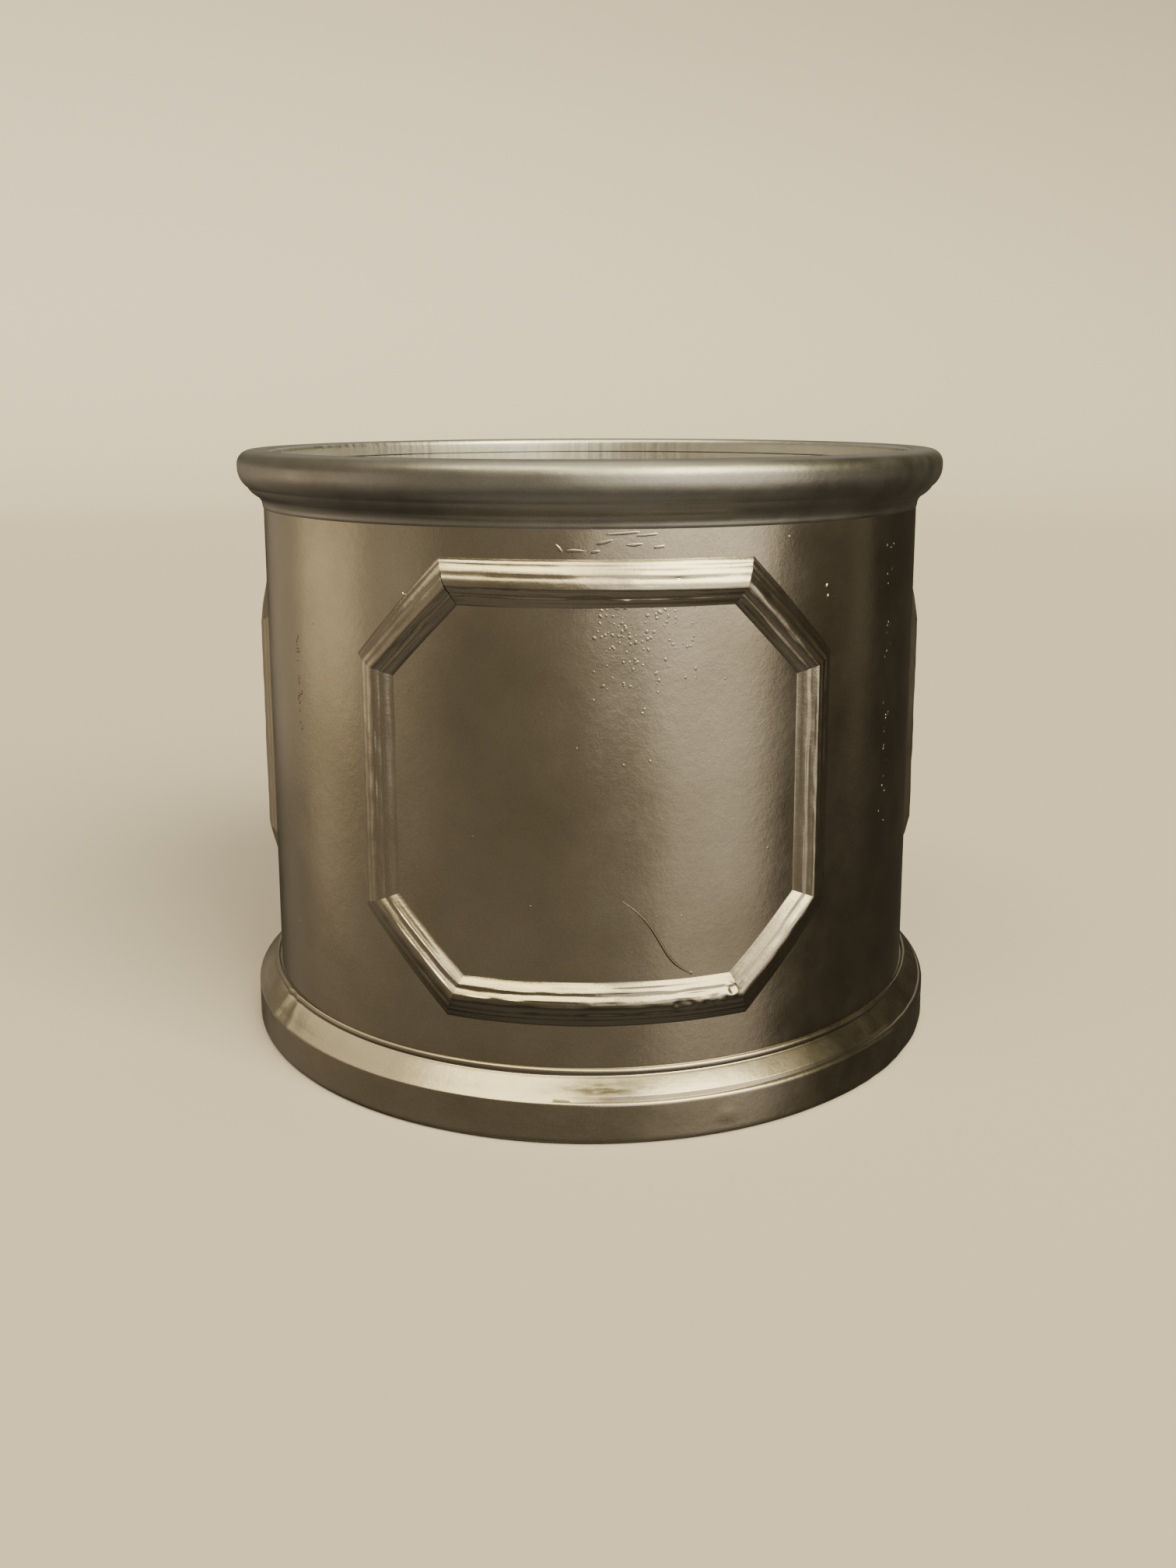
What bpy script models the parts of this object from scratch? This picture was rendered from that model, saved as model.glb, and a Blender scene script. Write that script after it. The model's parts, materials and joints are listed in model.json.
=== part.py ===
"""Round candle tin: a rolled wall between a rim moulding and a plinth, with a
dropped-in bottom and three eight-sided panels framed by reeded, mitred strips.

Run it with: blender --background --python part.py
Units are metres and +Z is up. The tin stands on z = 0 and its front panel faces -Y.
"""

from math import cos, pi, radians, sin, tan

import bmesh
import bpy

NAME = "candle_tin"

# Driving dimensions.
HEIGHT = 0.0820            # floor to the top of the rim
OUTER_RADIUS = 0.0500      # rim and plinth
WALL_RADIUS = 0.0466       # outside of the wall
WALL_THICKNESS = 0.0012
JOINT_GAP = 0.0003         # glue line between neighbouring pieces
TURN_STEPS = 72            # facets round a turned piece

# Rim moulding: a bead that slopes back under itself into a small cove, capping the
# top edge of the wall.
RIM_DROP = 0.0076          # how far the rim reaches down the wall
RIM_CAP = 0.0020           # thickness of the rim above the wall's edge
BEAD_RADIUS = 0.0019       # rounding of the bead's top
BEAD_FACE_Z = 0.0024       # from the top of the rim to the bead's widest place
BEAD_UNDER_RADIUS = 0.0033 # rounding of the bead's lower half
COVE_RADIUS = 0.0018       # hollow curve between the slope and the wall
LIP_RADIUS = 0.0008        # rounding of the rim's inner edge

# Base moulding: a fillet and a sloping face over an upright plinth, with a ledge inside.
BASE_HEIGHT = 0.0087
FILLET_RADIUS = 0.04755    # the thin fillet at the top, from the tin's axis
FILLET_ROUNDING = 0.0003
QUIRK_DROP = 0.0009        # from the fillet's top to the groove under it
SLOPE_TOP = (0.04760, 0.00765)
SLOPE_FOOT = (0.04930, 0.00590)
PLINTH_HEIGHT = 0.0050     # the upright face, up to the arris
BASE_EDGE = 0.0004         # rounding of the plinth's edges
LEDGE_THICKNESS = 0.0020
LEDGE_RADIUS = 0.0430      # inner edge of the ledge under the wall and the bottom
BOTTOM_THICKNESS = 0.0012

# Panels: the outline is the outer edge of the strips, measured on the wall.
PANEL_ANGLES = {"front": 0.0, "right_rear": 120.0, "left_rear": -120.0}
PANEL_WIDTH = 0.0626
PANEL_HEIGHT = 0.0570
PANEL_CHAMFER = 0.0124     # leg of the cut-off corners
PANEL_CENTRE_Z = 0.0422
STRIP_RELIEF = 0.0012      # height of the highest reed above the wall
WRAP_STEP = 0.0042         # longest run of a strip between two bends of the wrap

WALL_INNER = WALL_RADIUS - WALL_THICKNESS
WALL_BOTTOM = LEDGE_THICKNESS + JOINT_GAP
WALL_TOP = HEIGHT - RIM_CAP - JOINT_GAP
SEAT_RADIUS = WALL_RADIUS + JOINT_GAP

PEWTER = (0.44, 0.39, 0.30)
RAW_INSIDE = (0.55, 0.52, 0.45)


def clear_scene():
    for item in list(bpy.data.objects):
        bpy.data.objects.remove(item, do_unlink=True)


def new_collection():
    collection = bpy.data.collections.new(NAME)
    bpy.context.scene.collection.children.link(collection)
    return collection


def new_material(name, colour, roughness, metallic):
    material = bpy.data.materials.new(name)
    material.use_nodes = True
    shader = material.node_tree.nodes["Principled BSDF"]
    shader.inputs["Base Color"].default_value = (*colour, 1.0)
    shader.inputs["Roughness"].default_value = roughness
    shader.inputs["Metallic"].default_value = metallic
    return material


def arc(centre, radius, start, end, points):
    """Points of a circular arc in the profile plane, as (x, z), angles in degrees."""
    x, z = centre
    result = []
    for i in range(points):
        angle = radians(start + (end - start) * i / (points - 1))
        result.append((x + radius * cos(angle), z + radius * sin(angle)))
    return result


def turned(collection, name, profile, material):
    """A closed outline of (radius, height) points turned about Z."""
    mesh = bpy.data.meshes.new(name)
    points = [(x, 0.0, z) for x, z in profile]
    edges = [(i, (i + 1) % len(points)) for i in range(len(points))]
    mesh.from_pydata(points, edges, [])
    piece = bpy.data.objects.new(name, mesh)
    collection.objects.link(piece)
    screw = piece.modifiers.new("turn", "SCREW")
    screw.axis = "Z"
    screw.angle = 2.0 * pi
    screw.steps = TURN_STEPS
    screw.render_steps = TURN_STEPS
    screw.use_merge_vertices = True
    screw.merge_threshold = 0.00001
    screw.use_smooth_shade = True
    piece.data.materials.append(material)
    return piece


def make_wall(collection):
    """The rolled side: it stands on the base's ledge and ends inside the rim."""
    profile = [
        (WALL_RADIUS, WALL_TOP),
        (WALL_RADIUS, WALL_BOTTOM),
        (WALL_INNER, WALL_BOTTOM),
        (WALL_INNER, WALL_TOP),
    ]
    turned(collection, "wall", profile, new_material("wall", PEWTER, 0.34, 0.9))


def make_bottom(collection):
    """The round bottom that drops in from above and rests on the base's ledge."""
    radius = WALL_INNER - JOINT_GAP
    disc = bmesh.new()
    bmesh.ops.create_cone(
        disc, cap_ends=True, segments=TURN_STEPS, radius1=radius, radius2=radius, depth=BOTTOM_THICKNESS
    )
    mesh = bpy.data.meshes.new("bottom")
    disc.to_mesh(mesh)
    disc.free()
    piece = bpy.data.objects.new("bottom", mesh)
    piece.location.z = WALL_BOTTOM + BOTTOM_THICKNESS / 2
    collection.objects.link(piece)
    piece.data.materials.append(new_material("bottom", RAW_INSIDE, 0.42, 0.9))


def make_rim(collection):
    """The rim: bead, slope and cove outside, and a rebate inside that takes the wall's edge."""
    foot_z = HEIGHT - RIM_DROP
    foot_radius = SEAT_RADIUS + 0.0002
    bead_z = HEIGHT - BEAD_RADIUS
    lip_z = HEIGHT - LIP_RADIUS
    rebate_z = WALL_TOP + JOINT_GAP
    profile = [(WALL_INNER, lip_z)]
    profile += arc((WALL_INNER + LIP_RADIUS, lip_z), LIP_RADIUS, 150.0, 90.0, 3)
    profile += arc((OUTER_RADIUS - BEAD_RADIUS, bead_z), BEAD_RADIUS, 90.0, 0.0, 6)
    profile += arc((OUTER_RADIUS - BEAD_UNDER_RADIUS, HEIGHT - BEAD_FACE_Z), BEAD_UNDER_RADIUS, 0.0, -45.0, 4)
    profile += arc((foot_radius + COVE_RADIUS, foot_z + 0.00025), COVE_RADIUS, 135.0, 180.0, 4)
    profile += [(foot_radius, foot_z), (SEAT_RADIUS, foot_z)]
    profile += [(SEAT_RADIUS, rebate_z), (WALL_INNER, rebate_z)]
    turned(collection, "rim_moulding", profile, new_material("rim_moulding", PEWTER, 0.30, 0.9))


def make_base(collection):
    """The base: a fillet, a groove, a sloping face, an upright plinth and the ledge inside."""
    quirk_z = BASE_HEIGHT - QUIRK_DROP
    fillet_z = BASE_HEIGHT - FILLET_ROUNDING
    plinth_edge = OUTER_RADIUS - BASE_EDGE
    profile = [(SEAT_RADIUS, BASE_HEIGHT)]
    profile += arc((FILLET_RADIUS - FILLET_ROUNDING, fillet_z), FILLET_ROUNDING, 90.0, 0.0, 3)
    profile += [(FILLET_RADIUS - 0.0002, quirk_z + 0.0001), (FILLET_RADIUS - 0.0001, quirk_z)]
    profile += [SLOPE_TOP, SLOPE_FOOT, (SLOPE_FOOT[0] + 0.0001, SLOPE_FOOT[1] - 0.0004)]
    profile += arc((plinth_edge, PLINTH_HEIGHT), BASE_EDGE, 70.0, 0.0, 4)
    profile += arc((plinth_edge, BASE_EDGE), BASE_EDGE, 0.0, -90.0, 3)
    profile += [(LEDGE_RADIUS, 0.0), (LEDGE_RADIUS, LEDGE_THICKNESS), (SEAT_RADIUS, LEDGE_THICKNESS)]
    turned(collection, "base_moulding", profile, new_material("base_moulding", PEWTER, 0.32, 0.9))


def strip_section():
    """Section of a strip as (inward, height): three rising reeds, a cove and a bead.

    Inward is measured from the panel's outer edge, height from the strip's back.
    """
    top = STRIP_RELIEF - JOINT_GAP
    return [
        (0.0000, 0.0),
        (0.0001, 0.30 * top),
        (0.0005, 0.42 * top),
        (0.0009, 0.38 * top),
        (0.0013, 0.70 * top),
        (0.0018, 0.76 * top),
        (0.0022, 0.70 * top),
        (0.0026, 0.98 * top),
        (0.0031, top),
        (0.0036, 0.92 * top),
        (0.0043, 0.50 * top),
        (0.0048, 0.26 * top),
        (0.0052, 0.36 * top),
        (0.0056, 0.30 * top),
        (0.0059, 0.0),
        (0.0030, 0.0),
    ]


def panel_outline():
    """The panel's corners on the flattened wall, clockwise from the top strip's left end."""
    half_width = PANEL_WIDTH / 2
    half_height = PANEL_HEIGHT / 2
    inner_x = half_width - PANEL_CHAMFER
    inner_z = half_height - PANEL_CHAMFER
    return [
        (-inner_x, half_height),
        (inner_x, half_height),
        (half_width, inner_z),
        (half_width, -inner_z),
        (inner_x, -half_height),
        (-inner_x, -half_height),
        (-half_width, -inner_z),
        (-half_width, inner_z),
    ]


def straight_strip(name, length):
    """A straight strip with square ends: its section, filled and extruded both ways."""
    section = bpy.data.curves.new(name, "CURVE")
    section.dimensions = "2D"
    section.fill_mode = "BOTH"
    section.extrude = length / 2
    outline = strip_section()
    spline = section.splines.new("POLY")
    spline.points.add(len(outline) - 1)
    for point, (inward, height) in zip(spline.points, outline):
        point.co = (inward, height, 0.0, 1.0)
    spline.use_cyclic_u = True
    source = bpy.data.objects.new(name + "_section", section)
    bpy.context.scene.collection.objects.link(source)
    depsgraph = bpy.context.evaluated_depsgraph_get()
    mesh = bpy.data.meshes.new_from_object(source.evaluated_get(depsgraph))
    bpy.data.objects.remove(source, do_unlink=True)
    strip = bmesh.new()
    strip.from_mesh(mesh)
    bpy.data.meshes.remove(mesh)
    bmesh.ops.remove_doubles(strip, verts=strip.verts, dist=0.000001)
    return strip


def bend_points(strip, start, end):
    """Cut a strip across its length often enough to follow the round wall."""
    cuts = int(abs(end[0] - start[0]) / WRAP_STEP)
    if cuts:
        long_edges = [e for e in strip.edges if abs(e.verts[0].co.z - e.verts[1].co.z) > JOINT_GAP]
        bmesh.ops.subdivide_edges(strip, edges=long_edges, cuts=cuts)


def lay_strip(strip, start, end, length, panel_angle):
    """Mitre a strip's ends, lay it along one edge of the panel and wrap it on the wall."""
    along = ((end[0] - start[0]) / length, (end[1] - start[1]) / length)
    inward = (along[1], -along[0])
    middle = ((start[0] + end[0]) / 2, (start[1] + end[1]) / 2)
    mitre = tan(radians(45.0 / 2))
    for vert in strip.verts:
        depth, height, run = vert.co
        run *= (length / 2 - depth * mitre - JOINT_GAP / 2) / (length / 2)
        x = middle[0] + run * along[0] + depth * inward[0]
        z = middle[1] + run * along[1] + depth * inward[1]
        angle = x / WALL_RADIUS + radians(panel_angle)
        radius = SEAT_RADIUS + height
        vert.co = (radius * sin(angle), -radius * cos(angle), PANEL_CENTRE_Z + z)
    bmesh.ops.recalc_face_normals(strip, faces=strip.faces)
    if strip.calc_volume(signed=True) < 0.0:
        bmesh.ops.reverse_faces(strip, faces=strip.faces)


def make_panel(collection, panel, panel_angle, material):
    """The eight strips that frame one panel, named as seen from outside."""
    sides = ("top", "top_right", "right", "bottom_right", "bottom", "bottom_left", "left", "top_left")
    corners = panel_outline()
    for i, side in enumerate(sides):
        name = f"{panel}_strip_{side}"
        start = corners[i]
        end = corners[(i + 1) % len(corners)]
        length = ((end[0] - start[0]) ** 2 + (end[1] - start[1]) ** 2) ** 0.5
        strip = straight_strip(name, length)
        bend_points(strip, start, end)
        lay_strip(strip, start, end, length, panel_angle)
        mesh = bpy.data.meshes.new(name)
        strip.to_mesh(mesh)
        strip.free()
        piece = bpy.data.objects.new(name, mesh)
        collection.objects.link(piece)
        piece.data.materials.append(material)


def main():
    clear_scene()
    collection = new_collection()
    make_wall(collection)
    make_bottom(collection)
    make_rim(collection)
    make_base(collection)
    for panel, angle in PANEL_ANGLES.items():
        make_panel(collection, panel, angle, new_material(f"{panel}_strips", PEWTER, 0.30, 0.9))


main()
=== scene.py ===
import json
import random
from math import asin, cos, exp, hypot, pi, radians, sin, tan

import bmesh
import bpy
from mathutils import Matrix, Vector, noise

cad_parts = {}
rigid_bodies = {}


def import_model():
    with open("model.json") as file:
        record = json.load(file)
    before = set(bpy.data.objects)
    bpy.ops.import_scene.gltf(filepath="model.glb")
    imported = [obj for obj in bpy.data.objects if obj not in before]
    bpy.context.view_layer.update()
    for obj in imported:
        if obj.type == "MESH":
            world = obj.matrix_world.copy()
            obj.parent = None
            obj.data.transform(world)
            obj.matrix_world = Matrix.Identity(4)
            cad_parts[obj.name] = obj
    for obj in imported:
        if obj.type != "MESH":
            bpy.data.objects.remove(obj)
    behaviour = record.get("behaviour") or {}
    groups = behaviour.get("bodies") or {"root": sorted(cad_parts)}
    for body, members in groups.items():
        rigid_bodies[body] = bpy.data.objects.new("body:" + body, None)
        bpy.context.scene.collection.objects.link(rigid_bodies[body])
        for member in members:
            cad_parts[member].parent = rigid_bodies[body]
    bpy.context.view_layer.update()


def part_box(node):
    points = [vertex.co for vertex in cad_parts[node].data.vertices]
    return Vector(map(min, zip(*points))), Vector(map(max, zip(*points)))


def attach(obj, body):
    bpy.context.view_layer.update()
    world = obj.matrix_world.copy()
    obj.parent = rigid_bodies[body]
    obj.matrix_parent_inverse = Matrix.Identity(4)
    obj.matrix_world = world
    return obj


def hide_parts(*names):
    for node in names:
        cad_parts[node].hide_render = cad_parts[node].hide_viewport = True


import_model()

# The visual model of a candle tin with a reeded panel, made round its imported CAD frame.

MM = 0.001

# Sizes from the frame, in metres.
JOINT_GAP = 0.3 * MM
RIM_LOW, RIM_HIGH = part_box("rim_moulding")
BASE_LOW, BASE_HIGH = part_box("base_moulding")
WALL_LOW, WALL_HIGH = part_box("wall")
BOTTOM_LOW, BOTTOM_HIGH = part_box("bottom")
OUTER_R = RIM_HIGH.x
WALL_R = WALL_HIGH.x
INNER_R = BOTTOM_HIGH.x + JOINT_GAP
SEAT_R = WALL_R + 0.05 * MM
# How deep the rim and the base sink into the wall.
HIDDEN_R = WALL_R - 0.16 * MM
TOP_Z = RIM_HIGH.z
RIM_FOOT_Z = RIM_LOW.z
BASE_TOP_Z = BASE_HIGH.z
LEDGE_Z = WALL_LOW.z - JOINT_GAP

# The panels' outer outline, on the flattened wall.
PANEL_ANGLES = {"front": 0.0, "right_rear": 120.0, "left_rear": -120.0}
SIDES = ("top", "top_right", "right", "bottom_right", "bottom", "bottom_left", "left", "top_left")
PANEL_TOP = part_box("front_strip_top")[1].z
PANEL_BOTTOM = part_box("front_strip_bottom")[0].z
PANEL_Z = (PANEL_TOP + PANEL_BOTTOM) / 2
HALF_HEIGHT = (PANEL_TOP - PANEL_BOTTOM) / 2
# About how far the CAD strips' outer edges stand off the wall.
EDGE_HEIGHT = 0.3 * MM
HALF_WIDTH = WALL_R * asin(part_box("front_strip_right")[1].x / (WALL_R + EDGE_HEIGHT))
CHAMFER = 12.4 * MM
STRIP_WIDTH = 5.9 * MM

WAVE_SEED = Vector((3.1, 7.7, 1.9))
CREASE = radians(55.0)
WALL_STEPS = 432
RIM_STEPS = 360


# ---------------------------------------------------------------- shape helpers

def arc(centre, radius, start, end, points):
    """Points of a circular arc in the profile plane, in mm, angles in degrees."""
    x, z = centre
    angles = [radians(start + (end - start) * i / (points - 1)) for i in range(points)]
    return [(x + radius * cos(a), z + radius * sin(a)) for a in angles]


def line(start, end, points):
    """Evenly spaced points from start to end, both included, in mm."""
    steps = [i / (points - 1) for i in range(points)]
    return [(start[0] + (end[0] - start[0]) * t, start[1] + (end[1] - start[1]) * t) for t in steps]


def on_wall(run, z, height, panel_angle=0.0):
    """A point of the flattened wall, height above its face, wrapped round the tin."""
    angle = run / WALL_R + radians(panel_angle)
    radius = WALL_R + height
    return Vector((radius * sin(angle), -radius * cos(angle), z))


def bump(distance, width):
    """A smooth hump of height 1 that is nearly gone one width away."""
    return exp(-3.0 * (distance / width) ** 2)


def ripple(point, wavelength, amplitude):
    return amplitude * noise.noise(point / wavelength + WAVE_SEED)


def new_piece(name, mesh_data, material, replaced):
    """Turns a bmesh into a smooth piece on the tin's only body.

    replaced is the CAD node that the piece stands for, or None.
    """
    bmesh.ops.recalc_face_normals(mesh_data, faces=mesh_data.faces)
    if mesh_data.calc_volume(signed=True) < 0.0:
        bmesh.ops.reverse_faces(mesh_data, faces=mesh_data.faces)
    for face in mesh_data.faces:
        face.smooth = True
    for edge in mesh_data.edges:
        if len(edge.link_faces) == 2 and edge.calc_face_angle() > CREASE:
            edge.smooth = False
    mesh = bpy.data.meshes.new(name)
    mesh_data.to_mesh(mesh)
    mesh_data.free()
    piece = bpy.data.objects.new(name, mesh)
    bpy.context.scene.collection.objects.link(piece)
    piece.data.materials.append(material)
    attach(piece, "root")
    if replaced:
        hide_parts(replaced)
    return piece


def turned(profile, steps, offset):
    """A closed outline of (radius, height) in mm turned about Z into a ring.

    offset(angle, radius, z) gives how far a point moves outward, in metres; angle 0 is
    the front, and it grows towards +X.
    """
    ring = bmesh.new()
    columns = []
    for i in range(steps):
        angle = 2 * pi * i / steps
        column = []
        for r_mm, z_mm in profile:
            z = z_mm * MM
            radius = r_mm * MM + offset(angle, r_mm * MM, z)
            column.append(ring.verts.new((radius * sin(angle), -radius * cos(angle), z)))
        columns.append(column)
    count = len(profile)
    for i, column in enumerate(columns):
        following = columns[(i + 1) % steps]
        for j in range(count):
            k = (j + 1) % count
            ring.faces.new((column[j], column[k], following[k], following[j]))
    return ring


def spun(profile, steps, merge):
    """An open line of (radius, height) in metres turned about Z, its doubled points merged."""
    sheet = bmesh.new()
    points = [sheet.verts.new((r, 0.0, z)) for r, z in profile]
    edges = [sheet.edges.new(pair) for pair in zip(points, points[1:])]
    bmesh.ops.spin(
        sheet,
        geom=points + edges,
        cent=(0, 0, 0),
        axis=(0, 0, 1),
        angle=2 * pi,
        steps=steps,
        use_duplicate=False,
    )
    bmesh.ops.remove_doubles(sheet, verts=sheet.verts, dist=merge)
    return sheet


def signed_angle(angle):
    """An angle from 0 to 2 pi as degrees between -180 and 180."""
    degrees = angle * 180.0 / pi
    return degrees - 360.0 if degrees > 180.0 else degrees


# ---------------------------------------------------------------- materials
# Noise scales are per metre, and bump distances are in metres.

LEVEL_STREAKS = (0.12, 0.12, 1.0)
UPRIGHT_STREAKS = (1.0, 1.0, 0.03)
# The dull patch in the middle of the base's sloping face.
WIPED_MIDDLE = (0.0005, -0.0484, 0.0066)


def link(tree, output, socket):
    tree.links.new(output, socket)


def math_node(tree, operation, *values):
    node = tree.nodes.new("ShaderNodeMath")
    node.operation = operation
    for socket, value in zip(node.inputs, values):
        if isinstance(value, (int, float)):
            socket.default_value = value
        else:
            link(tree, value, socket)
    return node.outputs["Value"]


def noise_node(tree, coords, scale, detail, roughness=0.55):
    node = tree.nodes.new("ShaderNodeTexNoise")
    node.inputs["Scale"].default_value = scale
    node.inputs["Detail"].default_value = detail
    node.inputs["Roughness"].default_value = roughness
    link(tree, coords, node.inputs["Vector"])
    return node


def stretch_node(tree, coords, scale):
    node = tree.nodes.new("ShaderNodeMapping")
    node.inputs["Scale"].default_value = scale
    link(tree, coords, node.inputs["Vector"])
    return node


def range_node(tree, value, low, high, to_low, to_high):
    node = tree.nodes.new("ShaderNodeMapRange")
    node.inputs["From Min"].default_value = low
    node.inputs["From Max"].default_value = high
    node.inputs["To Min"].default_value = to_low
    node.inputs["To Max"].default_value = to_high
    link(tree, value, node.inputs["Value"])
    return node


def bump_node(tree, height, strength, distance, below=None):
    node = tree.nodes.new("ShaderNodeBump")
    node.inputs["Strength"].default_value = strength
    node.inputs["Distance"].default_value = distance
    link(tree, height, node.inputs["Height"])
    if below:
        link(tree, below, node.inputs["Normal"])
    return node


def ramp_node(tree, value, stops):
    node = tree.nodes.new("ShaderNodeValToRGB")
    link(tree, value, node.inputs["Fac"])
    ramp = node.color_ramp
    while len(ramp.elements) < len(stops):
        ramp.elements.new(0.5)
    for element, (position, colour) in zip(ramp.elements, stops):
        element.position = position
        element.color = (*colour, 1.0)
    return node


def pewter_paint(name, tone=1.0, cool=1.0, rough=(0.20, 0.28), brushed=None, wiped=None):
    """Satin metallic paint: a cloudy warm grey with fine flake and a soft orange peel.

    cool above 1 raises the blue and some green, for a greyer paint. brushed is a stretch of the
    object's coordinates that draws the flake out into fine lines, for a spun or wiped
    surface. wiped is the middle of a patch where the bright flake has been brushed thin.
    """
    material = bpy.data.materials.new(name)
    material.use_nodes = True
    tree = material.node_tree
    shader = tree.nodes["Principled BSDF"]
    coords = tree.nodes.new("ShaderNodeTexCoord").outputs["Object"]
    shader.inputs["Metallic"].default_value = 1.0

    clouds = noise_node(tree, coords, 55.0, 4.0)
    green = tone * cool ** 0.3
    blue = tone * cool
    dark = (0.40 * tone, 0.355 * green, 0.275 * blue)
    light = (0.52 * tone, 0.47 * green, 0.385 * blue)
    colour = ramp_node(tree, clouds.outputs["Fac"], [(0.30, dark), (0.70, light)])
    flake = noise_node(tree, coords, 5200.0, 1.0)
    flake_tone = range_node(tree, flake.outputs["Fac"], 0.3, 0.7, 0.93, 1.06)
    tint = tree.nodes.new("ShaderNodeVectorMath")
    tint.operation = "SCALE"
    link(tree, colour.outputs["Color"], tint.inputs[0])
    link(tree, flake_tone.outputs["Result"], tint.inputs["Scale"])
    finish = tint.outputs["Vector"]
    if wiped:
        finish = wiped_patch(tree, coords, finish, wiped)
    link(tree, finish, shader.inputs["Base Color"])

    smudges = noise_node(tree, coords, 150.0, 5.0, 0.6)
    roughness = range_node(tree, smudges.outputs["Fac"], 0.3, 0.7, rough[0], rough[1])
    link(tree, roughness.outputs["Result"], shader.inputs["Roughness"])

    orange_peel = noise_node(tree, coords, 950.0, 2.0)
    skin = bump_node(tree, orange_peel.outputs["Fac"], 0.30, 0.00006)
    grain_coords = coords
    if brushed:
        grain_coords = stretch_node(tree, coords, brushed).outputs["Vector"]
    grain = noise_node(tree, grain_coords, 3800.0, 2.0)
    surface = bump_node(tree, grain.outputs["Fac"], 0.25, 0.00002, skin.outputs["Normal"])
    link(tree, surface.outputs["Normal"], shader.inputs["Normal"])
    return material


def wiped_patch(tree, coords, colour, middle):
    """The colour, darker in level streaks within about a centimetre of middle."""
    away = tree.nodes.new("ShaderNodeVectorMath")
    away.operation = "SUBTRACT"
    away.inputs[1].default_value = middle
    link(tree, coords, away.inputs[0])
    shape = tree.nodes.new("ShaderNodeVectorMath")
    shape.operation = "MULTIPLY"
    shape.inputs[1].default_value = (1.0, 0.3, 7.0)
    link(tree, away.outputs["Vector"], shape.inputs[0])
    distance = tree.nodes.new("ShaderNodeVectorMath")
    distance.operation = "LENGTH"
    link(tree, shape.outputs["Vector"], distance.inputs[0])
    inside = range_node(tree, distance.outputs["Value"], 0.002, 0.009, 1.0, 0.0)
    level = stretch_node(tree, coords, LEVEL_STREAKS)
    streaks = noise_node(tree, level.outputs["Vector"], 2600.0, 3.0)
    streaky = range_node(tree, streaks.outputs["Fac"], 0.35, 0.60, 0.35, 0.85)
    amount = math_node(tree, "MULTIPLY", inside.outputs["Result"], streaky.outputs["Result"])
    darker = tree.nodes.new("ShaderNodeVectorMath")
    darker.operation = "SCALE"
    link(tree, colour, darker.inputs[0])
    link(tree, math_node(tree, "SUBTRACT", 1.0, amount), darker.inputs["Scale"])
    return darker.outputs["Vector"]


def inside_metal(name):
    """Bare, lightly brushed metal of the inside, drawn out in upright lines."""
    material = bpy.data.materials.new(name)
    material.use_nodes = True
    tree = material.node_tree
    shader = tree.nodes["Principled BSDF"]
    coords = tree.nodes.new("ShaderNodeTexCoord").outputs["Object"]
    shader.inputs["Metallic"].default_value = 1.0
    clouds = noise_node(tree, coords, 70.0, 4.0)
    colour = ramp_node(
        tree, clouds.outputs["Fac"], [(0.3, (0.80, 0.77, 0.72)), (0.7, (0.94, 0.92, 0.88))]
    )
    link(tree, colour.outputs["Color"], shader.inputs["Base Color"])
    upright = stretch_node(tree, coords, UPRIGHT_STREAKS)
    streaks = noise_node(tree, upright.outputs["Vector"], 900.0, 4.0)
    roughness = range_node(tree, streaks.outputs["Fac"], 0.3, 0.7, 0.32, 0.50)
    link(tree, roughness.outputs["Result"], shader.inputs["Roughness"])
    surface = bump_node(tree, streaks.outputs["Fac"], 0.6, 0.00012)
    link(tree, surface.outputs["Normal"], shader.inputs["Normal"])
    return material


# ---------------------------------------------------------------- wall and bottom

def wall_wave(angle, z):
    """The wall isn't quite round: long soft waves with a little finer unevenness."""
    at = Vector((WALL_R * sin(angle), -WALL_R * cos(angle), z * 0.7))
    return ripple(at, 0.026, 0.07 * MM) + ripple(at, 0.009, 0.018 * MM)


def make_wall(paint, inside):
    outer_rows = 96
    inner_rows = 18
    low = WALL_LOW.z / MM
    high = WALL_HIGH.z / MM
    outer = line((WALL_R / MM, high), (WALL_R / MM, low), outer_rows)
    inner = line((INNER_R / MM, low), (INNER_R / MM, high), inner_rows)

    def offset(angle, radius, z):
        return wall_wave(angle, z) * (1.0 if radius > (WALL_R + INNER_R) / 2 else 0.6)

    ring = turned(outer + inner, WALL_STEPS, offset)
    middle = (WALL_R + INNER_R) / 2
    for face in ring.faces:
        centre = face.calc_center_median()
        if hypot(centre.x, centre.y) < middle:
            face.material_index = 1
    wall = new_piece("tin_wall", ring, paint, "wall")
    wall.data.materials.append(inside)


def make_bottom(inside):
    """The bottom: a disc that rises a little towards its middle, with a rolled edge."""
    low = BOTTOM_LOW.z / MM
    high = BOTTOM_HIGH.z / MM
    edge = BOTTOM_HIGH.x / MM
    roll = 0.3
    crown = 0.12
    hollow = 0.05
    upper = [(r, high + crown * cos(r / edge * pi / 2)) for r in range(2, int(edge), 2)]
    lower = [(r, low + hollow * cos(r / edge * pi / 2)) for r in range(int(edge) - 1, 1, -2)]
    rolled = arc((edge - roll, high - roll), roll, 90.0, 0.0, 5)
    rolled += arc((edge - roll, low + roll), roll, 0.0, -90.0, 5)
    profile = [(0.0, high + crown), *upper, *rolled, *lower, (0.0, low + hollow)]
    disc = spun([(r * MM, z * MM) for r, z in profile], 144, 0.01 * MM)
    new_piece("tin_bottom", disc, inside, "bottom")


# ---------------------------------------------------------------- rim and base

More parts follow.
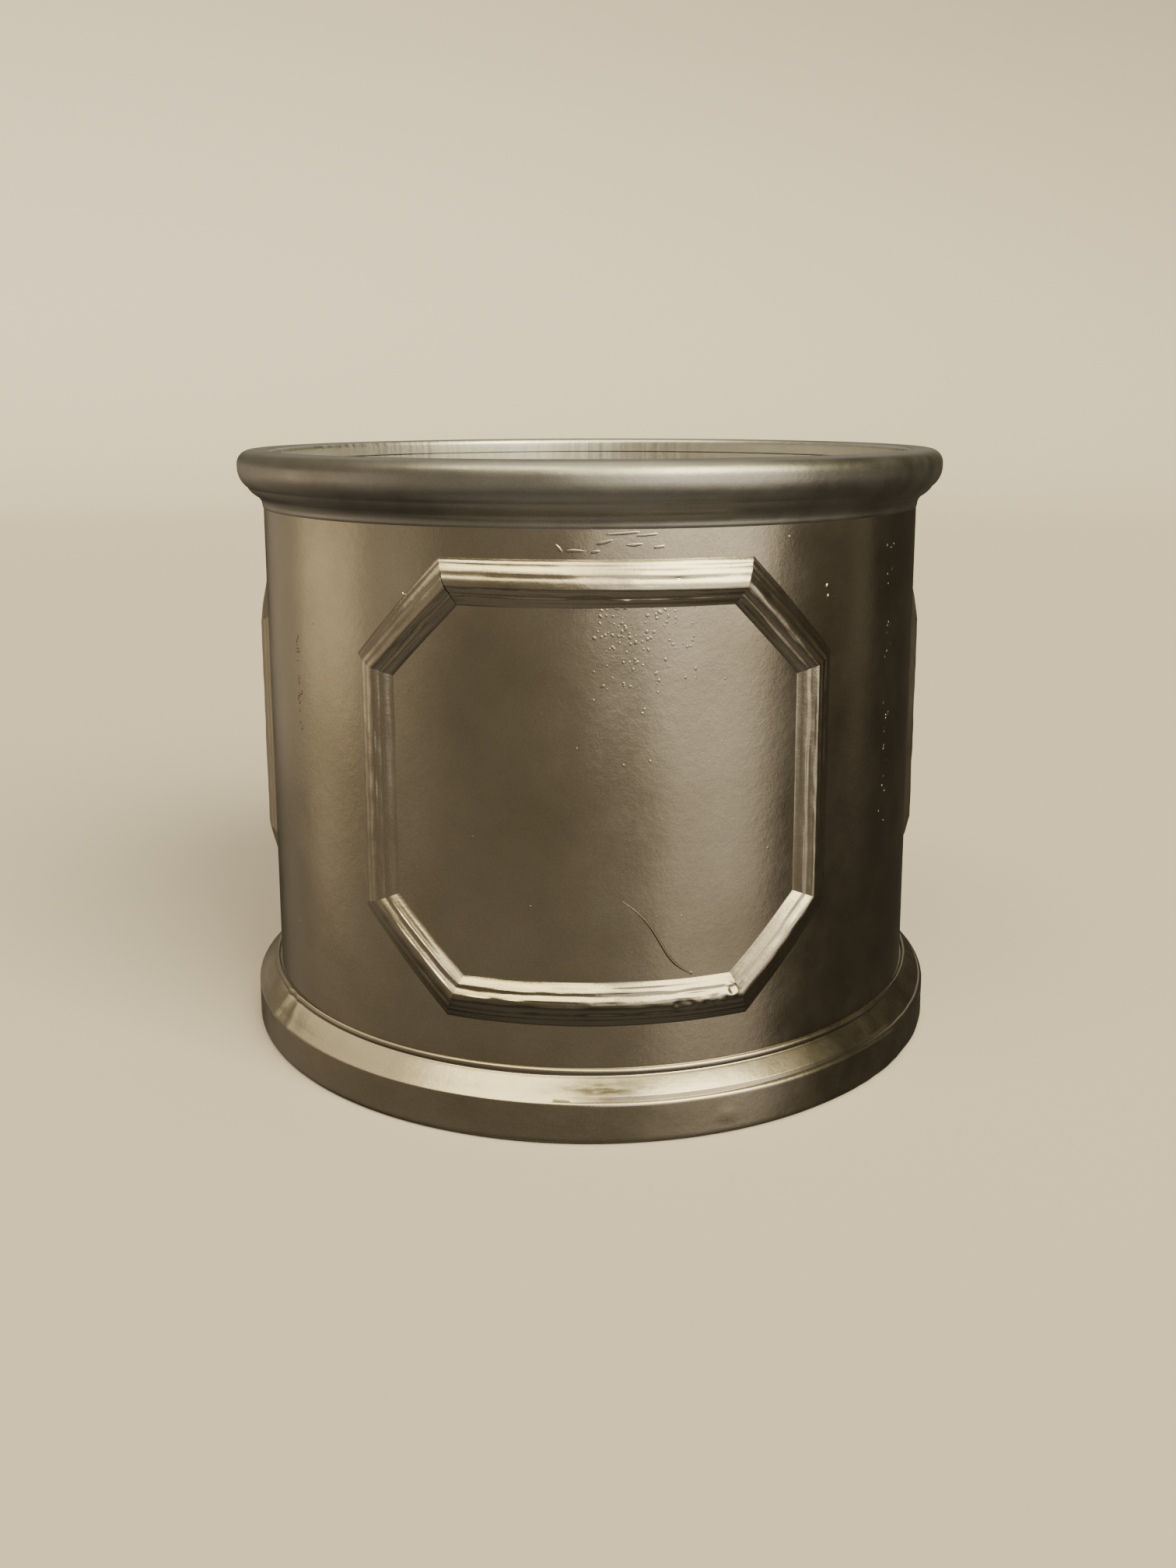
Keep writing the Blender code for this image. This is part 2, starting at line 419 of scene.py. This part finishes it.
def make_rim(paint, inside):
    """The rim: a rounded lip, a bead that slopes back under itself, and a small cove.

    Its foot thins out into the wall, where the paint has filled the joint.
    """
    top = TOP_Z / MM
    outer = OUTER_R / MM
    inner = INNER_R / MM
    wall = WALL_R / MM
    foot = RIM_FOOT_Z / MM
    hidden = HIDDEN_R / MM
    rebate = top - 2.1
    # Radii of the section's arcs, from the inside edge over the top and down.
    lip = 0.8
    shoulder = 1.9
    bead = 3.3
    slope = 3.6
    cove = 1.8
    profile = arc((inner + lip, top - lip), lip, 180.0, 92.0, 8)
    profile += line((inner + 1.1, top), (outer - 2.0, top), 4)
    profile += arc((outer - shoulder, top - shoulder), shoulder, 90.0, 0.0, 14)
    profile += arc((outer - bead, top - 2.4), bead, 0.0, -52.0, 12)
    profile += arc((outer - 4.355, top - 3.155), slope, -33.0, -57.0, 7)
    profile += arc((wall + 1.95, foot - 0.05), cove, 133.0, 178.0, 9)
    profile += [(wall + 0.08, foot - 0.25), (hidden, foot - 0.45)]
    profile += [(hidden, rebate), (inner, rebate), (inner, rebate + 0.7)]

    def offset(angle, radius, z):
        at = Vector((radius * sin(angle), -radius * cos(angle), z * 2.0))
        share = min(1.0, max(0.0, (radius - WALL_R) / (1.5 * MM)))
        return share * (ripple(at, 0.012, 0.05 * MM) + ripple(at, 0.0035, 0.02 * MM))

    ring = turned(profile, RIM_STEPS, offset)
    for face in ring.faces:
        centre = face.calc_center_median()
        if hypot(centre.x, centre.y) < INNER_R + 0.35 * MM and centre.z > TOP_Z - 2.4 * MM:
            face.material_index = 1
    rim = new_piece("tin_rim", ring, paint, "rim_moulding")
    rim.data.materials.append(inside)


def make_base(paint):
    """The base: fillet, groove, sloping face, rounded arris and upright plinth.

    Right of the front a shallow dip parts the sloping face from the arris. Left of it the
    dip is filled, and the face runs down to the plinth in a straight line.
    """
    outer = OUTER_R / MM - 0.1
    top = BASE_TOP_Z / MM - 0.1
    wall = WALL_R / MM
    inner = 43.0
    ledge = LEDGE_Z / MM
    hidden = HIDDEN_R / MM
    # Radii of the section's arcs, from the top down.
    fillet = 0.35
    crown = 22.0
    slope_end = 0.33
    arris = 0.48
    foot = 0.6
    profile = [(hidden, ledge + 0.4), (hidden, top - 0.30), (wall + 0.18, top - 0.30)]
    profile += arc((wall + 0.55, top - 0.31), fillet, 160.0, 0.0, 12)
    profile += [(wall + 0.90, top - 0.56), (wall + 0.84, top - 0.70)]
    profile += [(wall + 0.76, top - 0.80), (wall + 0.77, top - 0.87)]
    profile += arc((outer - 16.99, -8.80), crown, 48.4, 42.4, 10)
    profile += arc((outer - 0.97, 5.80), slope_end, 36.0, 12.0, 4)
    profile += arc((outer - arris, 4.98), arris, 97.0, 0.0, 9)
    profile += line((outer, 4.8), (outer, 1.0), 6)
    profile += arc((outer - foot, foot), foot, 0.0, -90.0, 7)
    profile += line((outer - 0.9, 0.0), (inner + 0.4, 0.0), 4)
    profile += arc((inner + 0.3, 0.3), 0.3, -90.0, -180.0, 4)
    profile += [(inner, ledge), (SEAT_R / MM, ledge)]
    dip_start = (outer - 0.8) * MM
    filled_sum = (outer + 5.29) * MM

    def offset(angle, radius, z):
        share = min(1.0, max(0.0, (radius - WALL_R - 0.3 * MM) / (0.5 * MM)))
        if z < 0.05 * MM or share == 0.0:
            return 0.0
        at = Vector((radius * sin(angle), -radius * cos(angle), z * 2.0))
        side = signed_angle(angle)
        move = ripple(at, 0.014, 0.05 * MM) + ripple(at, 0.004, 0.015 * MM)
        # Lumps in the casting on the right.
        if 24.0 < side < 78.0:
            lumps = bump(side - 54.0, 26.0)
            move += lumps * (ripple(at, 0.0022, 0.10 * MM) + ripple(at, 0.006, 0.14 * MM))
        # Two ridges across the sloping face on the left, and a small lump on the plinth.
        if -75.0 < side < -48.0 and z > 4.5 * MM:
            move += 0.20 * MM * bump(side + 62.0, 1.6)
            move += 0.14 * MM * bump(side + 57.5 + (z / MM - 7.0) * 0.8, 1.2)
        move += 0.12 * MM * bump(side - 18.5, 1.6) * bump(z / MM - 2.6, 0.9)
        # The filled dip: radius and height add up to the same there, up to the plinth.
        filled = min(outer * MM, filled_sum - z)
        if side < 4.0 and z > 5.0 * MM and dip_start < radius < filled:
            move += (filled - radius) * min(1.0, (4.0 - side) / 12.0)
        return move * share

    ring = turned(profile, WALL_STEPS, offset)
    base = new_piece("tin_base", ring, paint, "base_moulding")
    # The photograph's wall and strips don't mirror the base.
    base.visible_glossy = False


# ---------------------------------------------------------------- panel strips

# A strip's section from its outer edge inwards: three reeds that step up to the crest, a
# steep fall in two drops with a narrow ledge between, and a foot that runs out onto the
# panel's field. Each row is where an arc starts and ends, in mm, and its slope at either
# end.
SECTION = (
    (0.10, 0.90, 1.10, 0.06),
    (0.90, 2.16, 0.92, 0.02),
    (2.16, 3.30, 0.62, -0.04),
    (3.30, 3.70, -0.04, -0.62),
    (3.70, 4.26, -0.62, -0.84),
    (4.26, 4.64, -0.30, -0.24),
    (4.64, 5.15, -0.62, -0.84),
    (5.15, 5.74, -0.84, -0.46),
    (5.74, 5.90, -0.20, -0.05),
)
SAMPLES_PER_ARC = 5
# How far apart a strip's sections are along it.
FRONT_SPACING = 0.3 * MM
REAR_SPACING = 0.6 * MM
# How far the front top strip's crest drifts inwards at its right end, and outwards at its
# left end.
TOP_LEAN = 0.22 * MM

# Faults in the paint near the right end of the front bottom strip, in mm. A nick is where
# it lies along and across the strip, its width and its depth. The ring is where it lies,
# its radius and its height. The strip runs leftwards from its middle, so right is negative.
NICKS = ((-9.4, 3.0, 0.8, 0.20), (-11.0, 3.2, 0.6, 0.12))
RING = (-16.4, 3.9, 0.60, 0.12)
LUMP_HEIGHT = 0.26


def section_points():
    """(distance from the outer edge, height above the wall, arc number) in mm."""
    points = [(0.0, -0.06, 0)]
    height = 0.0
    for number, (start, end, slope, last_slope) in enumerate(SECTION):
        width = end - start
        for i in range(SAMPLES_PER_ARC):
            t = i / SAMPLES_PER_ARC
            rise = width * (slope * t + (last_slope - slope) * t * t / 2)
            points.append((start + t * width, height + rise, number))
        height += width * (slope + last_slope) / 2
    points.append((STRIP_WIDTH / MM, height + 0.01, len(SECTION) - 1))
    points.append((STRIP_WIDTH / MM + 0.30, -0.06, len(SECTION) - 1))
    return points


def panel_outline():
    """The panel's corners on the flattened wall, clockwise from the top strip's left end."""
    inner_x = HALF_WIDTH - CHAMFER
    inner_z = HALF_HEIGHT - CHAMFER
    return [
        (-inner_x, HALF_HEIGHT),
        (inner_x, HALF_HEIGHT),
        (HALF_WIDTH, inner_z),
        (HALF_WIDTH, -inner_z),
        (inner_x, -HALF_HEIGHT),
        (-inner_x, -HALF_HEIGHT),
        (-HALF_WIDTH, -inner_z),
        (-HALF_WIDTH, inner_z),
    ]


def fault_height(run, across, tag):
    """What the nicks, the lumps round them and the ring add to the bottom strip, in mm."""
    height = 0.0
    for nick_run, nick_across, width, depth in NICKS:
        height -= depth * bump(hypot(run - nick_run, across - nick_across), width)
    lump = noise.noise(Vector((run * 1.1, across * 1.4, 9.0)) + tag)
    height += LUMP_HEIGHT * lump * bump(run + 12.8, 5.5) * bump(across - 3.1, 1.2)
    ring_run, ring_across, ring_radius, ring_height = RING
    away = hypot(run - ring_run, across - ring_across)
    height += ring_height * (bump(away - ring_radius, 0.32) - 0.8 * bump(away, 0.45))
    return height


def make_strip(panel, side, start, end, paint, rng):
    """One reeded strip with mitred ends, hand laid, so never perfectly even."""
    length = hypot(end[0] - start[0], end[1] - start[1])
    along = ((end[0] - start[0]) / length, (end[1] - start[1]) / length)
    inward = (along[1], -along[0])
    middle = ((start[0] + end[0]) / 2, (start[1] + end[1]) / 2)
    panel_angle = PANEL_ANGLES[panel]
    mitre = tan(radians(22.5))
    tag = Vector((rng.uniform(0, 50), rng.uniform(0, 50), rng.uniform(0, 50)))
    section = section_points()
    front = panel == "front"
    stations = max(18, int(length / (FRONT_SPACING if front else REAR_SPACING)))
    lean = TOP_LEAN if front and side == "top" else 0.0
    faulty = front and side == "bottom"
    strip = bmesh.new()
    loops = []
    for i in range(stations + 1):
        t = -1.0 + 2.0 * i / stations
        top = []
        for s_mm, height, number in section:
            s = s_mm * MM
            half = length / 2 - s * mitre - 0.01 * MM
            run = t * half
            free = 1.0 - t ** 6
            drift = noise.noise(Vector((run * 150.0, number * 3.1, 0.0)) + tag)
            wobble = noise.noise(Vector((run * 420.0, number * 5.7, 4.0)) + tag)
            depth = s + free * drift * 0.07 * MM + lean * t * sin(pi * min(1.0, s / STRIP_WIDTH))
            if height > 0.0:
                height *= 1.0 + free * (0.07 * drift + 0.05 * wobble)
            if faulty:
                height += fault_height(run / MM, s_mm, tag)
            x = middle[0] + run * along[0] + depth * inward[0]
            z = PANEL_Z + middle[1] + run * along[1] + depth * inward[1]
            angle = x / WALL_R + radians(panel_angle)
            top.append((x, z, height * MM + wall_wave(angle, z)))
        verts = [strip.verts.new(on_wall(x, z, h, panel_angle)) for x, z, h in top]
        for x, z, _ in (top[-1], top[0]):
            verts.append(strip.verts.new(on_wall(x, z, -0.30 * MM, panel_angle)))
        loops.append(verts)
    count = len(loops[0])
    for first, second in zip(loops, loops[1:]):
        for j in range(count):
            k = (j + 1) % count
            strip.faces.new((first[j], first[k], second[k], second[j]))
    strip.faces.new(loops[0])
    strip.faces.new(loops[-1][::-1])
    new_piece(f"tin_{panel}_{side}", strip, paint, f"{panel}_strip_{side}")


def make_panels(front_paint, shaded_bottom_paint, rear_paint):
    rng = random.Random(7)
    corners = panel_outline()
    for panel in PANEL_ANGLES:
        for i, side in enumerate(SIDES):
            paint = rear_paint
            if panel == "front":
                # The front bottom strip takes a darker copy of the strip paint: painted shade.
                paint = shaded_bottom_paint if side == "bottom" else front_paint
            make_strip(panel, side, corners[i], corners[(i + 1) % len(corners)], paint, rng)


# ---------------------------------------------------------------- marks in the paint

# Dashes of overspray above the front panel: run, height and length in mm, turn in radians.
DASHES = (
    (2.9, 73.6, 3.2, 0.10),
    (5.6, 73.4, 2.4, 0.05),
    (-4.4, 71.9, 1.0, -0.9),
    (-2.6, 71.6, 1.9, 0.0),
    (0.9, 72.6, 1.5, 0.25),
    (7.2, 72.0, 1.2, 0.1),
    (4.3, 72.3, 1.6, 0.1),
    (-0.2, 71.5, 0.9, 0.3),
    (1.8, 74.3, 1.0, 0.2),
    (6.4, 74.2, 1.2, 0.0),
)
# Upright bands of nibs near the sides: how many, the band's middle and spread round the
# wall, its lowest and highest nib, and the largest nib, in mm.
NIB_BANDS = ((26, 45.5, 0.8, 33.0, 71.0, 0.9), (16, -45.0, 0.5, 44.0, 59.0, 0.8))
# Single drops of paint: run, height and size in mm.
DROPS = ((30.4, 66.3, 0.8), (30.6, 65.0, 0.6), (24.0, 72.6, 0.5), (-24.0, 66.0, 0.4))
# The hair's route: run and height in mm.
HAIR = ((3.0, 29.6), (4.6, 28.4), (6.2, 26.6), (7.4, 24.6), (8.6, 22.4), (10.0, 20.8), (11.6, 19.9))
SPECK_SIDES = 8


def add_speck(group, run, z, length, width, height, turn):
    """A low ragged blob of paint or dust on the wall, long side turned from level."""
    rings = ((1.0, -0.06 * MM), (0.72, 0.55 * height), (0.38, 0.9 * height))
    loops = []
    wave = wall_wave(run / WALL_R, z)
    for scale, lift in rings:
        loop = []
        for i in range(SPECK_SIDES):
            a = 2 * pi * i / SPECK_SIDES
            ragged = 1.0 + 0.7 * noise.noise(Vector((cos(a), sin(a), run * 900.0 + z * 700.0)))
            u = scale * ragged * length / 2 * cos(a)
            v = scale * ragged * width / 2 * sin(a)
            x = run + u * cos(turn) - v * sin(turn)
            y = z + u * sin(turn) + v * cos(turn)
            loop.append(group.verts.new(on_wall(x, y, lift + wave)))
        loops.append(loop)
    peak = group.verts.new(on_wall(run, z, height + wave))
    for i in range(SPECK_SIDES):
        k = (i + 1) % SPECK_SIDES
        for lower, upper in zip(loops, loops[1:]):
            group.faces.new((lower[i], lower[k], upper[k], upper[i]))
        group.faces.new((loops[-1][i], loops[-1][k], peak))
    group.faces.new(loops[0][::-1])


def add_nib(group, run, z, size, height, turn=0.0):
    """A speck as long as it is wide, its place and sizes in mm."""
    add_speck(group, run * MM, z * MM, size * MM, size * MM, height * MM, turn)


def make_specks(paint):
    """Dust and overspray nibs caught in the paint, thickest above and inside the front panel."""
    rng = random.Random(21)
    group = bmesh.new()
    for run, z, length, turn in DASHES:
        add_speck(group, run * MM, z * MM, 1.5 * length * MM, 0.50 * MM, 0.05 * MM, turn)
    # Nibs that spill down from the front panel's top edge.
    for _ in range(120):
        run = abs(rng.gauss(0.0, 6.5)) + rng.uniform(-1.0, 1.0)
        z = 65.5 - abs(rng.gauss(0.0, 5.5))
        size = rng.uniform(0.22, 0.55)
        turn = rng.uniform(0, pi)
        add_speck(group, run * MM, z * MM, size * MM * 1.3, size * MM, 0.022 * MM, turn)
    for count, middle, spread, low, high, largest in NIB_BANDS:
        for _ in range(count):
            run = rng.gauss(middle, spread)
            z = rng.uniform(low, high)
            add_nib(group, run, z, rng.uniform(0.35, largest), 0.07)
    for run, z, size in DROPS:
        add_nib(group, run, z, size, 0.14, 0.3)
    # Faint ones all round the wall.
    for _ in range(90):
        run = rng.uniform(-pi * WALL_R, pi * WALL_R) / MM
        z = rng.uniform(12.0, 74.0)
        add_nib(group, run, z, rng.uniform(0.2, 0.5), 0.018)
    new_piece("paint_specks", group, paint, None)


def make_hair_mark(paint):
    """A hair caught under the paint: a curved ridge in the front panel, thicker lower down."""
    curve = bpy.data.curves.new("hair_mark", "CURVE")
    curve.dimensions = "3D"
    curve.bevel_depth = 0.20 * MM
    curve.bevel_resolution = 3
    curve.use_fill_caps = True
    spline = curve.splines.new("NURBS")
    spline.points.add(len(HAIR) - 1)
    spline.use_endpoint_u = True
    spline.order_u = 3
    for i, (point, (run, z)) in enumerate(zip(spline.points, HAIR)):
        angle = run * MM / WALL_R
        place = on_wall(run * MM, z * MM, wall_wave(angle, z * MM) - 0.04 * MM)
        point.co = (*place, 1.0)
        point.radius = 0.30 + 0.80 * sin(pi * ((i + 0.6) / (len(HAIR) + 0.2)) ** 1.5)
    piece = bpy.data.objects.new("hair_mark", curve)
    bpy.context.scene.collection.objects.link(piece)
    piece.data.materials.append(paint)
    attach(piece, "root")


# ---------------------------------------------------------------- stage

def make_floor():
    """A pale floor that sweeps up into a round wall far behind everything, in metres.

    The metal is lit by the soft boxes and lamps alone: it doesn't see the floor.
    """
    flat = 0.9
    bend = 0.6
    profile = [(0.0, 0.0), (0.4, 0.0), (flat, 0.0)]
    for degrees in range(10, 91, 10):
        profile.append((flat + bend * sin(radians(degrees)), bend - bend * cos(radians(degrees))))
    profile += [(flat + bend, 1.2), (flat + bend, 1.8)]
    sweep = spun(profile, 96, 0.1 * MM)
    for face in sweep.faces:
        face.smooth = True
    mesh = bpy.data.meshes.new("floor")
    sweep.to_mesh(mesh)
    sweep.free()
    floor = bpy.data.objects.new("floor", mesh)
    bpy.context.scene.collection.objects.link(floor)
    material = bpy.data.materials.new("floor")
    material.use_nodes = True
    shader = material.node_tree.nodes["Principled BSDF"]
    shader.inputs["Base Color"].default_value = (0.78, 0.71, 0.64, 1.0)
    shader.inputs["Roughness"].default_value = 0.9
    floor.data.materials.append(material)
    floor.visible_glossy = False
    floor.visible_shadow = False
    floor.visible_diffuse = False


def window(tree, value, centre, half, soft, around=False):
    """1 within half of centre, falling smoothly to 0 over soft on each side, in degrees."""
    away = math_node(tree, "SUBTRACT", value, centre)
    if around:
        away = math_node(tree, "WRAP", away, 180.0, -180.0)
    distance = math_node(tree, "ABSOLUTE", away)
    edge = range_node(tree, distance, half - soft, half + soft, 1.0, 0.0)
    edge.interpolation_type = "SMOOTHSTEP"
    return edge.outputs["Result"]


# Soft boxes of the studio round the tin, in degrees. Azimuth 0 is the front and grows
# towards +X, and elevation grows upward. Each is: azimuth, its half width and softness,
# elevation, its half height and softness, brightness, colour.
SOFT_BOXES = {
    "overhead": (0, 200, 5, 90, 28, 12, 1.1, (1.0, 0.90, 0.60)),
    "top_left": (-38, 36, 12, 61, 11, 7, 3.6, (1.0, 0.90, 0.56)),
    "key": (40, 22, 6, 41, 17, 9, 10.5, (1.0, 0.90, 0.56)),
    "key_side": (4, 13, 7, 40, 15, 8, 2.9, (1.0, 0.90, 0.60)),
    "key_skirt": (40, 20, 6, 8, 15, 9, 1.55, (1.0, 0.92, 0.76)),
    "key_low": (42, 20, 7, -12, 15, 12, 0.42, (1.0, 0.90, 0.74)),
    "key_left": (11, 11, 4, 8, 16, 5, 0.60, (1.0, 0.93, 0.80)),
    "key_left_top": (11, 9, 4, 4, 9, 4, 0.75, (1.0, 0.93, 0.80)),
    "left_room": (-44, 102, 10, 8, 44, 12, 0.185, (1.0, 0.86, 0.62)),
    "left_card": (-101, 15, 5, -7, 6, 3, 0.55, (1.0, 0.78, 0.46)),
    "left_card_low": (-103, 10, 5, -17, 3, 2, 0.18, (1.0, 0.82, 0.54)),
    "left_side": (-105, 48, 8, -5, 9, 4, 0.20, (1.0, 0.86, 0.62)),
    "right_line": (103, 5, 3, -7, 8, 4, 0.10, (1.0, 0.86, 0.64)),
    "right_room": (86, 22, 8, -2, 8, 6, 0.055, (1.0, 0.86, 0.64)),
    "back": (180, 30, 10, 40, 26, 10, 0.35, (1.0, 0.93, 0.80)),
    "back_low": (180, 9, 5, -22, 16, 6, 0.45, (1.0, 0.92, 0.78)),
    "ground": (0, 92, 14, -72, 20, 12, 0.15, (1.0, 0.90, 0.74)),
}
# The light between the soft boxes.
WORLD_GLOW = (0.046, 0.038, 0.027)


def make_world():
    """A plain dim studio with soft boxes, so that the metal has something to mirror."""
    world = bpy.data.worlds.new("studio")
    world.use_nodes = True
    tree = world.node_tree
    background = tree.nodes["Background"]
    direction = tree.nodes.new("ShaderNodeTexCoord").outputs["Generated"]
    split = tree.nodes.new("ShaderNodeSeparateXYZ")
    link(tree, direction, split.inputs["Vector"])
    forward = math_node(tree, "MULTIPLY", split.outputs["Y"], -1.0)
    azimuth = math_node(tree, "ARCTAN2", split.outputs["X"], forward)
    azimuth = math_node(tree, "DEGREES", azimuth)
    elevation = math_node(tree, "DEGREES", math_node(tree, "ARCSINE", split.outputs["Z"]))
    total = None
    for name, (az, az_half, az_soft, el, el_half, el_soft, bright, colour) in SOFT_BOXES.items():
        across = window(tree, azimuth, az, az_half, az_soft, around=True)
        upward = window(tree, elevation, el, el_half, el_soft)
        level = math_node(tree, "MULTIPLY", across, upward)
        glow = tree.nodes.new("ShaderNodeVectorMath")
        glow.operation = "SCALE"
        glow.label = name
        glow.inputs[0].default_value = [channel * bright for channel in colour]
        link(tree, level, glow.inputs["Scale"])
        if total is None:
            total = tree.nodes.new("ShaderNodeVectorMath")
            total.operation = "ADD"
            total.inputs[0].default_value = WORLD_GLOW
        else:
            following = tree.nodes.new("ShaderNodeVectorMath")
            following.operation = "ADD"
            link(tree, total.outputs["Vector"], following.inputs[0])
            total = following
        link(tree, glow.outputs["Vector"], total.inputs[1])
    link(tree, total.outputs["Vector"], background.inputs["Color"])
    bpy.context.scene.world = world


# Panel lights that reach only one group of pieces. Each is: azimuth and elevation in
# degrees, width and height in metres, brightness, colour, group.
LAMPS = {
    "left_front_panel": (-28, 52, 0.50, 0.36, 2.4, (1.0, 0.87, 0.45), "lit_mouldings"),
    "left_lower_panel": (-30, 50, 0.56, 0.36, 5.4, (1.0, 0.87, 0.45), "lit_lower_strips"),
    "left_panel": (-92, 40, 0.90, 0.44, 1.05, (1.0, 0.88, 0.56), "lit_mouldings"),
    "right_panel": (92, 40, 0.50, 0.40, 0.45, (1.0, 0.90, 0.72), "lit_strips"),
}
LAMP_DISTANCE = 0.6


def lit_groups():
    """The groups of pieces that lamps are picked for, each a collection."""
    strips = [piece for piece in bpy.data.objects if piece.name.startswith("tin_front_")]
    lower = [bpy.data.objects[f"tin_front_{side}"] for side in ("bottom", "bottom_left")]
    members = {
        "lit_strips": strips,
        "lit_lower_strips": lower,
        "lit_mouldings": [*strips, bpy.data.objects["tin_base"]],
    }
    groups = {}
    for name, pieces in members.items():
        groups[name] = bpy.data.collections.new(name)
        for piece in pieces:
            groups[name].objects.link(piece)
    return groups


def make_lamps():
    """Lamps for the mouldings alone, which the photograph shows brighter than the wall."""
    groups = lit_groups()
    for name, (azimuth, elevation, width, height, brightness, colour, group) in LAMPS.items():
        panel = bpy.data.lights.new(name, "AREA")
        panel.shape = "RECTANGLE"
        panel.size = width
        panel.size_y = height
        panel.energy = brightness * pi * width * height
        panel.color = colour
        lamp = bpy.data.objects.new(name, panel)
        az = radians(azimuth)
        el = radians(elevation)
        direction = Vector((sin(az) * cos(el), -cos(az) * cos(el), sin(el)))
        lamp.location = direction * LAMP_DISTANCE + Vector((0.0, 0.0, TOP_Z / 2))
        lamp.rotation_euler = direction.to_track_quat("Z", "Y").to_euler()
        lamp.visible_camera = False
        bpy.context.scene.collection.objects.link(lamp)
        lamp.light_linking.receiver_collection = groups[group]


def make_camera():
    """A phone's view from about 20 cm in front, a little above the rim, looking down."""
    camera = bpy.data.cameras.new("camera")
    camera.sensor_width = 36.0
    camera.lens = 32.2
    camera.shift_x = -0.0010
    camera.shift_y = -0.0863
    camera.clip_start = 0.01
    eye = bpy.data.objects.new("camera", camera)
    turn = radians(-1.0)
    tilt = radians(-9.92)
    roll = radians(0.12)
    distance = 0.20615
    height = 0.0882
    eye.location = (distance * sin(turn), -distance * cos(turn), height)
    eye.rotation_euler = (radians(90.0) + tilt, roll, turn)
    bpy.context.scene.collection.objects.link(eye)
    bpy.context.scene.camera = eye


def main():
    paint = pewter_paint("pewter_paint")
    inside = inside_metal("inside_metal")
    make_wall(paint, inside)
    make_bottom(inside)
    make_rim(pewter_paint("rim_paint", tone=0.97, cool=1.26, rough=(0.31, 0.43)), inside)
    base_paint = pewter_paint(
        "base_paint",
        rough=(0.22, 0.32),
        brushed=LEVEL_STREAKS,
        wiped=WIPED_MIDDLE,
    )
    make_base(base_paint)
    make_panels(
        pewter_paint("strip_paint", rough=(0.17, 0.26)),
        # A darker copy of the strip paint for the front bottom strip: painted shade that dims its
        # highlight and darkens its lower reeds.
        pewter_paint("bottom_strip_shaded_paint", tone=0.62, rough=(0.17, 0.26)),
        pewter_paint("rear_strip_paint", rough=(0.34, 0.44)),
    )
    make_specks(paint)
    make_hair_mark(pewter_paint("hair_paint", tone=0.5, rough=(0.35, 0.5)))
    make_floor()
    make_world()
    make_lamps()
    make_camera()


main()
